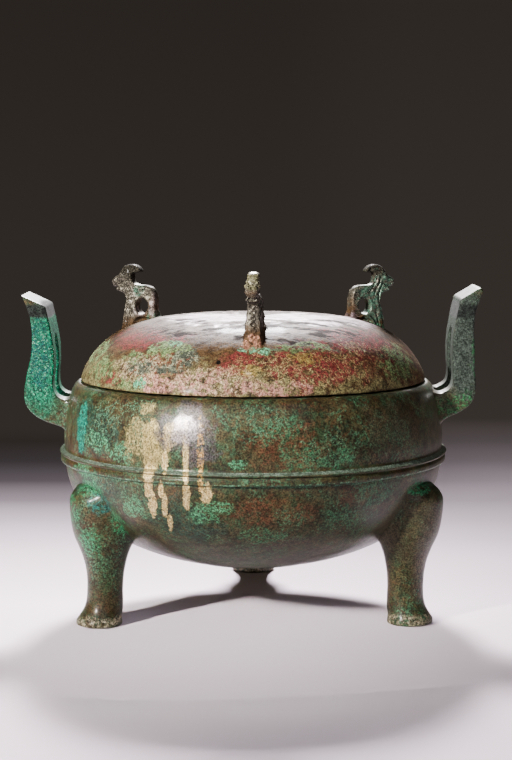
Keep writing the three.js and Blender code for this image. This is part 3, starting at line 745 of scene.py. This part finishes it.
# Relief on both flanks: lines in (outward, height), how far they stand out, and their width.
FLANK_LINES = [
    ([(6.2, 178.0), (5.6, 174.6), (3.4, 171.0), (1.9, 168.9)], -0.87, 0.42),  # mane
    ([(8.0, 176.2), (7.3, 172.9), (5.6, 169.6), (4.4, 167.2)], -0.81, 0.42),
    ([(9.4, 172.9), (8.2, 169.9), (7.3, 166.6), (6.9, 163.1)], -0.87, 0.42),
    ([(13.6, 172.0), (11.3, 172.8), (9.3, 174.2)], -0.93, 0.45),  # corner of the mouth
    ([(12.6, 178.7), (10.2, 179.2), (8.2, 178.4)], 0.52, 0.6),  # brow
    ([(9.2, 182.0), (5.0, 182.9), (1.4, 181.9), (0.0, 180.2)], 0.52, 0.7),  # curl of the horn
    ([(-8.8, 167.0), (-6.9, 169.8), (-3.4, 170.6), (0.4, 169.9)], 0.52, 0.7),  # back
    ([(-9.6, 161.2), (-6.4, 160.0), (-4.6, 158.4)], 0.58, 0.55),  # rump bands
    ([(-9.8, 158.7), (-6.7, 157.7), (-4.6, 156.3)], -0.70, 0.4),
    ([(-10.4, 156.4), (-7.2, 155.6), (-4.4, 154.4)], 0.58, 0.55),
    ([(-4.4, 155.9), (-0.9, 155.6), (2.0, 153.6), (3.4, 150.3), (2.9, 146.4)], 0.93, 0.75),  # tail curl
    ([(7.4, 161.5), (8.3, 156.5), (9.1, 151.5), (9.3, 147.0)], -0.81, 0.4),  # lines down the foreleg
    ([(4.7, 157.5), (5.8, 153.5), (6.4, 149.0), (6.4, 145.5)], -0.70, 0.4),
]
# Relief on the breast and face, in (across, height), seen from the front.
FRONT_LINES = [
    ([(0.0, 176.4), (1.8, 178.6), (3.0, 179.9)], -0.5, 0.4),  # parted forehead
    ([(0.0, 176.4), (-1.8, 178.6), (-3.0, 179.9)], -0.5, 0.4),
    ([(-1.2, 148.6), (1.3, 151.4), (-1.3, 154.4), (1.3, 157.5), (-1.1, 160.6), (1.0, 163.6),
      (-0.6, 166.2)], 0.65, 0.55),  # knotted cord down the breast
    ([(1.2, 148.6), (-1.3, 151.4), (1.3, 154.4), (-1.3, 157.5), (1.1, 160.6), (-1.0, 163.6),
      (0.6, 166.2)], 0.65, 0.55),
]
KNOBS = [(11.0, 3.2, 176.7, 1.25), (15.4, 2.2, 174.1, 1.25), (12.9, 2.5, 170.1, 1.1),
         (9.4, 2.6, 148.6, 1.5)]  # eye, nostril, jaw and paw: outward, across, height, radius
HORN_HOLLOW = (2.3, 181.0, 1.0)
WEB = [(-7, 149.7), (-6.7, 154.3), (-4.5, 154.4), (-0.9, 154.0), (1.6, 151.9), (1.6, 147.7)]


def beast(angle, radius, lift, turn):
    """One beast at an angle round the lid and a distance from its axis, turned on its own foot."""
    outline = np.vstack([
        [(-12, 139), (10.6, 139), (10.6, 146)],
        smooth_line([(9.8, 153.7), (8.5, 164.3), (9.6, 167.3), (12.2, 168.5), (14, 169.4)], 0.8),
        [(12.4, 171.1)],
        smooth_line([(16.2, 171.2), (17.1, 173.6), (15.6, 176.2), (12.8, 178.0)], 0.6),
        smooth_line([(11.8, 180.1), (8.8, 183), (4.6, 183.8), (0.8, 182.3), (-0.7, 179.7), (1.3, 179.1),
                     (4.4, 178.5), (4.6, 175.6), (3.3, 173.2), (0.3, 172.6), (-4, 172.4), (-7.4, 171.3),
                     (-9.2, 168.7), (-9.9, 164.4), (-10.1, 157.7), (-11.7, 152.7)], 0.8)])
    widths = np.array([(137, 4.9), (149.7, 4.9), (156.7, 4.4), (163.7, 3.7), (168.2, 3.1), (171.5, 2.9),
                       (174.1, 3.4), (177.3, 3.5), (180.1, 2.9), (185, 2.7)])
    w, t, z = (np.arange(a, b, BEAST_CELL) for a, b in ((-15, 19), (-8.4, 8.5), (140, 186)))
    flat = distance_to_outline(outline, w, z)
    gw, gz = np.meshgrid(w, z, indexing="ij")
    hole = (np.hypot((gw - LOOP_HOLE["w"]) / LOOP_HOLE["half_width"],
                     (gz - LOOP_HOLE["z"]) / LOOP_HOLE["half_height"]) - 1) * LOOP_HOLE["half_width"]
    flat = np.maximum(flat, -hole)
    thick = np.interp(gz, widths[:, 0], widths[:, 1])
    thick = thick + 0.35 * np.exp(-(hole / 0.9) ** 2)  # raised rim of the finger hole
    for route, height, width in FLANK_LINES:
        line = distance_to_route(smooth_line(route, 0.7), w, z)
        thick = thick + height * np.exp(-(line / width) ** 2)
    thick = thick + 0.1 * (np.sin(1.3 * gw + 0.5 * gz) + np.sin(0.9 * gz - 1.1 * gw)
                           + np.sin(1.7 * gz + 0.4 * gw))  # uneven casting
    web = distance_to_outline(smooth_line(WEB + WEB[:1], 0.8), w, z)
    thick = thick - 1.7 / (1 + np.exp(web / 0.25))
    horn = np.hypot(gw - HORN_HOLLOW[0], gz - HORN_HOLLOW[1]) / HORN_HOLLOW[2]
    thick = thick - 1.2 * np.exp(-horn**2)
    across = np.abs(t)[None, :, None]
    field = common(flat[:, None, :], across - thick[:, None, :], BEAST_EDGE)
    front = np.zeros((len(t), len(z)))
    for route, height, width in FRONT_LINES:
        line = distance_to_route(smooth_line(route, 0.6), t, z)
        front += height * np.exp(-(line / width) ** 2)
    field = field - front[None, :, :] * (w[:, None, None] > 7.5)
    for kw, kt, kz, size in KNOBS:
        ball = np.sqrt((w[:, None, None] - kw) ** 2 + (across - kt) ** 2
                       + (z[None, None, :] - kz) ** 2) - size
        field = joined(field, ball, 0.6)
    bearing = math.radians(turn)
    out = radius + w[:, None] * math.cos(bearing) - t[None, :] * math.sin(bearing)
    aside = w[:, None] * math.sin(bearing) + t[None, :] * math.cos(bearing)
    reach = np.hypot(out, aside)
    surface = lid_height_at(reach)
    slope = (lid_height_at(reach + 0.5) - lid_height_at(reach - 0.5))
    above = (z[None, None, :] + lift - surface[:, :, None]) / np.sqrt(1 + slope**2)[:, :, None]
    field = field - BEAST_LIP["height"] * np.exp(-np.maximum(above, 0) / BEAST_LIP["reach"])
    field = np.maximum(field, -1.3 - above)
    points, faces = skin_of(field, (w, t, z + lift))
    points = turn_about_z(points, turn) + np.array([radius, 0, 0])
    return new_piece("beast", turn_about_z(points, angle), faces.tolist())


beasts = [beast(**place) for place in BEASTS]
LID_SWELL = {"Swell Depth": 0.3 * MM, "Swell Size": 30 * MM, "Pit Depth": 0.22 * MM,
             "Pit Size": 4 * MM, "Seed": 8.0}
LID_COATS = [
    # brown patina
    {"colours": ("2e2014", "493723"), "rough": 0.5, "metal": 0.1, "height": 0.0, "size": 20},
    # buff and olive crust over it
    {"colours": ("434025", "726b48"), "rough": 0.6, "metal": 0.0, "height": 0.04, "size": 5,
     "cover": 0.56, "soft": 0.04, "tone_size": 1.0, "ragged": 1.6, "ragged_size": 12,
     "where": [((0, 0, 125), (300, 300, 15))]},
    {"colours": ("434025", "726b48"), "rough": 0.6, "metal": 0.0, "height": 0.03, "size": 1.3,
     "cover": 0.42, "soft": 0.07, "strength": 0.6, "ragged": 1.6, "where": [((0, 0, 125), (300, 300, 20))]},
    # cuprite red
    {"colours": ("481517", "6b2f2d"), "rough": 0.5, "metal": 0.05, "height": 0.02, "size": 5,
     "cover": 0.6, "soft": 0.06, "ragged": 2.0, "ragged_size": 9, "tone_size": 0.9, "strength": 0.9,
     "where": [((32, -76, 138), (34, 26, 13)), ((-4, -84, 140), (15, 12, 8)), ((58, -50, 146), (34, 30, 13)),
               ((-60, -50, 149), (22, 18, 6)), ((-36, -60, 151), (8, 9, 3)), ((-72, -56, 130), (11, 12, 4))]},
    {"colours": ("4a1a16", "6a332b"), "rough": 0.5, "metal": 0.05, "height": 0.0, "size": 1.4,
     "cover": 0.5, "soft": 0.08, "ragged": 1.6, "tone_size": 0.9, "strength": 0.7,
     "where": [((-62, -40, 150), (24, 30, 8)), ((-48, -70, 138), (24, 20, 8))]},
    # pale cream and pink crust
    {"colours": ("7a4b41", "ab7f75"), "rough": 0.55, "metal": 0.0, "height": 0.05, "size": 3,
     "cover": 0.5, "soft": 0.06, "ragged": 2.0, "tone_size": 1.1, "strength": 0.85,
     "where": [((-22, -86, 130), (22, 12, 7)), ((-46, -78, 129), (18, 16, 5)),
               ((12, -88, 128), (22, 12, 4.5))]},
    {"colours": ("836d56", "b4a283"), "rough": 0.6, "metal": 0.0, "height": 0.06, "size": 1.3,
     "cover": 0.4, "soft": 0.06, "ragged": 2.0, "strength": 0.85,
     "where": [((-20, -86, 130), (30, 14, 8)), ((-60, -66, 135), (22, 18, 8))]},
    {"colours": ("716237", "a4956b"), "rough": 0.6, "metal": 0.0, "height": 0.05, "size": 3.6,
     "cover": 0.5, "soft": 0.03, "lace": 1.0, "ragged": 1.6, "tone_size": 1.2, "strength": 0.85,
     "where": [((22, -82, 136), (44, 20, 12)), ((56, -60, 138), (26, 26, 12)),
               ((76, -36, 138), (14, 24, 12))]},
    {"colours": ("67571d", "8a7d44"), "rough": 0.6, "metal": 0.0, "height": 0.03, "size": 2.4,
     "cover": 0.5, "soft": 0.08, "ragged": 1.9, "ragged_size": 5, "strength": 0.7,
     "where": [((26, -78, 142), (9, 8, 4)), ((-2, -84, 136), (6, 8, 4))]},
    # brown-red film at the right
    {"colours": ("31170f", "4a2720"), "rough": 0.5, "metal": 0.05, "height": 0.0, "size": 4,
     "cover": 0.6, "soft": 0.12, "ragged": 1.7, "ragged_size": 10, "strength": 0.75,
     "where": [((86, -26, 134), (20, 44, 15)), ((64, -52, 136), (16, 20, 10))]},
    # malachite
    {"colours": ("344d29", "6b7e52"), "rough": 0.65, "metal": 0.0, "height": 0.08, "size": 3.4,
     "cover": 0.54, "soft": 0.05, "ragged": 2.0, "ragged_size": 7, "strength": 0.9, "tone_size": 1.1,
     "where": [((-42, -66, 145), (15, 14, 5)), ((-78, -42, 133), (10, 20, 8)), ((30, -76, 147), (22, 12, 3)),
               ((74, -42, 136), (16, 26, 9)), ((-60, -62, 140), (10, 12, 4)), ((-66, -66, 128), (10, 12, 4)),
               ((-84, -20, 140), (14, 24, 8))]},
    {"colours": ("23724d", "64a881"), "rough": 0.65, "metal": 0.0, "height": 0.08, "size": 1.8,
     "cover": 0.54, "soft": 0.09, "ragged": 2.0, "ragged_size": 5, "tone_size": 0.9,
     "where": [((2, -79, 146), (11, 5, 2.6)), ((-56, -72, 129), (4.5, 6, 4)), ((67, 30, 148), (8, 8, 5)),
               ((-42, -66, 149), (7, 7, 2.6)), ((-84, -36, 122), (9, 20, 2.4))]},
    # dark spots and stains
    {"colours": ("15110d", "24201a"), "rough": 0.5, "metal": 0.1, "height": -0.05, "size": 1.1,
     "cover": 0.36, "soft": 0.05, "strength": 0.75},
    {"colours": ("15110d", "24201a"), "rough": 0.5, "metal": 0.1, "height": -0.05, "size": 4.5,
     "cover": 0.34, "soft": 0.05, "strength": 0.7, "cluster": (24, 0.55, 0.1)},
    {"colours": ("20241e", "3d4138"), "rough": 0.45, "metal": 0.1, "height": -0.03, "size": 3,
     "cover": 0.6, "soft": 0.05, "ragged": 1.9, "ragged_size": 6, "tone_size": 1.1,
     "where": [((-33, -74, 141), (9, 8, 6)), ((-54, -66, 136), (12, 10, 3.4)), ((-41, -75, 136), (8, 8, 3))]},
    {"colours": ("71785e", "9fa388"), "rough": 0.6, "metal": 0.0, "height": 0.06, "size": 4,
     "cover": 0.5, "soft": 0.025, "lace": 1.0, "ragged": 1.5, "strength": 0.8,
     "where": [((-35, -74, 140), (12, 9, 7)), ((-58, -66, 138), (14, 12, 6))]},
    # one small casting hole, painted near-black as painted shade inside it, with a shallow dent
    {"colours": ("080605", "0e0c0a"), "rough": 0.9, "metal": 0.0, "height": -0.4, "size": 9,
     "cover": 1.0, "soft": 0.1, "ragged": 0.3, "where": [((-16.9, -81.7, 140.1), (1.3, 1.6, 1.4))]},
    # the top: dull brown and pink, rubbed smooth in the middle with a painted pink sheen, scraped beside the
    # front beast
    {"colours": ("281d18", "49352e"), "rough": 0.7, "metal": 0.0, "height": -0.05, "size": 2.6,
     "cover": 0.56, "soft": 0.08, "ragged": 1.2, "ragged_size": 12, "strength": 0.8, "tone_size": 1.0,
     "where": [((0, -6, 160), (66, 66, 9))]},
    # painted sheen: pale pink, shinier metal in streaks across the top
    {"colours": ("4f4045", "86757b"), "rough": 0.34, "metal": 0.45, "height": 0.02, "size": 4.5,
     "cover": 0.62, "soft": 0.09, "stretch": (0.3, 1, 1), "ragged": 2.1, "ragged_size": 14, "tone_size": 0.9,
     "where": [((-22, -16, 160), (30, 42, 8)), ((26, -18, 160), (34, 38, 8)), ((52, -8, 157), (24, 28, 6))]},
    {"colours": ("14100f", "241d1b"), "rough": 0.8, "metal": 0.0, "height": -0.1, "size": 4.5,
     "cover": 0.42, "soft": 0.05, "stretch": (0.28, 1, 1), "ragged": 1.3, "ragged_size": 6,
     "where": [((17, -56, 152), (34, 26, 7)), ((-36, -42, 155), (30, 34, 6)), ((46, -38, 154), (30, 34, 6))],
     "strength": 0.95},
    # the beasts: cleaner, dark olive metal
    {"colours": ("1a1814", "625d52"), "rough": 0.34, "metal": 0.5, "height": 0.0, "size": 2,
     "cover": 0.95, "soft": 0.1, "ragged": 0.4, "tone_size": 1.0,
     "where": [((0, -66, 173), (12, 18, 22)), ((67, 30, 173), (22, 18, 23)), ((-67, 30, 173), (22, 18, 23))]},
    {"colours": ("152b23", "50806a"), "rough": 0.4, "metal": 0.4, "height": 0.03, "size": 2.2,
     "cover": 0.52, "soft": 0.14, "ragged": 1.2, "strength": 0.7, "tone_size": 1.0,
     "where": [((66, 30, 168), (14, 14, 22)), ((-54, 24, 154), (5, 8, 6)), ((-62, 28, 170), (4, 8, 5))]},
    # the tops of the side beasts' horns and backs, rough and painted darker: painted shade that dims the back
    # light on them
    {"colours": ("12110d", "35322a"), "rough": 0.75, "metal": 0.05, "height": 0.0, "size": 2,
     "cover": 0.8, "soft": 0.1, "ragged": 0.6,
     "where": [((62, 27, 182), (16, 16, 8)), ((-62, 27, 182), (16, 16, 8)), ((54, 24, 173.5), (9, 12, 2.4)),
               ((-54, 24, 173.5), (9, 12, 2.4))]},
    {"colours": ("645a54", "a49694"), "rough": 0.4, "metal": 0.4, "height": 0.02, "size": 2.2,
     "cover": 0.5, "soft": 0.12, "ragged": 1.3, "strength": 0.7,
     "where": [((-54, 24, 162), (4, 9, 9)), ((-62, 26, 158), (5, 9, 4))]},
    {"colours": ("613c2d", "a57863"), "rough": 0.4, "metal": 0.2, "height": 0.03, "size": 1.6,
     "cover": 0.5, "soft": 0.1, "ragged": 1.2, "where": [((-1, -75, 149), (6, 5, 5))], "strength": 0.8},
    {"colours": ("47432c", "999571"), "rough": 0.36, "metal": 0.5, "height": 0.02, "size": 3,
     "cover": 0.62, "soft": 0.14, "ragged": 0.8, "where": [((0, -76, 180), (6, 10, 6))], "strength": 0.8},
]
LID_RELIEF = {"grain_size": 0.7, "grain_shade": 0.55, "grain_height": 0.07, "grain_rough": 0.16,
              "wave_size": 7, "wave_height": 0.35, "wax": 0.03, "gloss": 0.04}

patinated(lid_patina, LID_COATS, LID_RELIEF)
one_casting(lid, beasts)
through_tree(lid, skin_tree, **LID_SWELL, **{"Material": lid_patina})
shaded(lid, 60)
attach(lid, "root")
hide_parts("lid")

# ---- Stage, lights and camera ----
# A paper sweep, painted pale where the vessel stands and darker behind it as a painted falloff of light,
# its far part glowing dimly with painted light. A soft box hangs over the back, a small one stands at
# the left of the camera, and a wide dim one behind it fills the shadows.

PAPER_FADE = 0.8  # metres over which the paper darkens
sweep_line = [(-1500, 0), (0, 0), (900, 0), (1250, 40), (1500, 200), (1600, 500), (1600, 2500)]
floor = new_piece("studio_sweep", [(x, y, z) for x in (-3000, 3000) for y, z in sweep_line],
                  faces=[(i, i + 7, i + 8, i + 1) for i in range(len(sweep_line) - 1)])
floor.data.shade_smooth()
paper = bpy.data.materials.new("studio_paper_painted_falloff")
paper.use_nodes = True
floor.data.materials.append(paper)
tree = paper.node_tree
place = add(tree, "ShaderNodeTexCoord").outputs["Object"]
along = add(tree, "ShaderNodeSeparateXYZ", {0: place}).outputs
share = add(tree, "ShaderNodeMapRange", {"Value": along["Y"], "From Min": 0.0, "From Max": PAPER_FADE})
# Painted falloff of light: how pale the paper is painted at so many metres behind the vessel, on its left
# and on its right, darker further back and on the right as the light falls off.
PAPER_FALLOFF_TONES = [[(0.0, 0.89), (0.066, 0.68), (0.122, 0.53), (0.184, 0.34), (0.254, 0.175), (0.332, 0.057),
                (0.421, 0.014), (0.522, 0.0038), (0.64, 0.0003)],
               [(0.0, 0.5), (0.066, 0.38), (0.122, 0.31), (0.184, 0.2), (0.254, 0.126), (0.332, 0.07),
                (0.421, 0.035), (0.522, 0.015), (0.64, 0.0056), (0.8, 0.0005)]]
sides = []
for tones in PAPER_FALLOFF_TONES:
    ramp = add(tree, "ShaderNodeValToRGB", {0: share.outputs[0]})
    for _ in tones[2:]:
        ramp.color_ramp.elements.new(0.5)
    for element, (spot, pale) in zip(ramp.color_ramp.elements, tones):
        element.position, element.color = spot / PAPER_FADE, (pale, pale * 0.86, pale * 0.96, 1)
    sides.append(ramp.outputs[0])
right = add(tree, "ShaderNodeMapRange", {"Value": along["X"], "From Min": 0.0, "From Max": 0.22},
            interpolation_type="SMOOTHSTEP")
tone = add(tree, "ShaderNodeMix", {0: right.outputs[0], 6: sides[0], 7: sides[1]}, data_type="RGBA")
surface = tree.nodes["Principled BSDF"]
tree.links.new(tone.outputs[2], surface.inputs["Base Color"])
surface.inputs["Roughness"].default_value = 0.9
surface.inputs["Specular IOR Level"].default_value = 0.0
# Painted light: the far paper glows dimly with its own light, a little brighter low down and on the right.
glow = add(tree, "ShaderNodeMapRange", {"Value": along["Y"], "From Min": 0.35, "From Max": 0.75},
           interpolation_type="SMOOTHSTEP")  # the far paper keeps one even dark tone
level = add(tree, "ShaderNodeMapRange", {"Value": along["Z"], "From Min": 0.13, "From Max": 0.46,
                                         "To Min": 1.05, "To Max": 0.85})
level = add(tree, "ShaderNodeMath", {0: right.outputs[0], 1: 0.14, 2: level.outputs[0]},
            operation="MULTIPLY_ADD")
glow = add(tree, "ShaderNodeMath", {0: glow.outputs[0], 1: level.outputs[0]}, operation="MULTIPLY")
surface.inputs["Emission Color"].default_value = (0.034, 0.028, 0.0235, 1)
tree.links.new(glow.outputs[0], surface.inputs["Emission Strength"])


def soft_box(name, place, aim, width, height, watts, tint, spread=180):
    """An area light at a place in metres, turned to aim at a point; its grid narrows it to spread."""
    lamp = bpy.data.lights.new(name, "AREA")
    lamp.shape, lamp.size, lamp.size_y, lamp.energy = "RECTANGLE", width, height, watts
    lamp.color, lamp.spread = colour(tint)[:3], math.radians(spread)
    light = bpy.data.objects.new(name, lamp)
    bpy.context.collection.objects.link(light)
    light.location = place
    light.rotation_euler = (Vector(aim) - Vector(place)).to_track_quat("-Z", "Y").to_euler()


soft_box("back_box", (0, 0.85, 0.79), (0, 0, 0.06), 0.16, 0.16, 90, "fffafc")
soft_box("left_front_box", (-0.84, -0.92, 0.62), (-0.03, -0.04, 0.14), 0.07, 0.13, 1.5, "fffaf4", 25)
soft_box("room_fill", (0.4, -1.6, 1.2), (0, 0, 0.12), 1.4, 1.4, 15, "f6f4ff")

world = bpy.data.worlds.new("dim_room")
world.use_nodes = True
world.node_tree.nodes["Background"].inputs["Color"].default_value = colour("4a423e")
world.node_tree.nodes["Background"].inputs["Strength"].default_value = 0.3
bpy.context.scene.world = world

lens = bpy.data.cameras.new("camera")
lens.lens, lens.sensor_width = 36 * 1871.3 / 760, 36
camera = bpy.data.objects.new("camera", lens)
bpy.context.collection.objects.link(camera)
camera.location = (0.00158, -1.0, 0.2293)
camera.rotation_euler = (math.radians(90 - 6.086), 0, 0)
bpy.context.scene.camera = camera
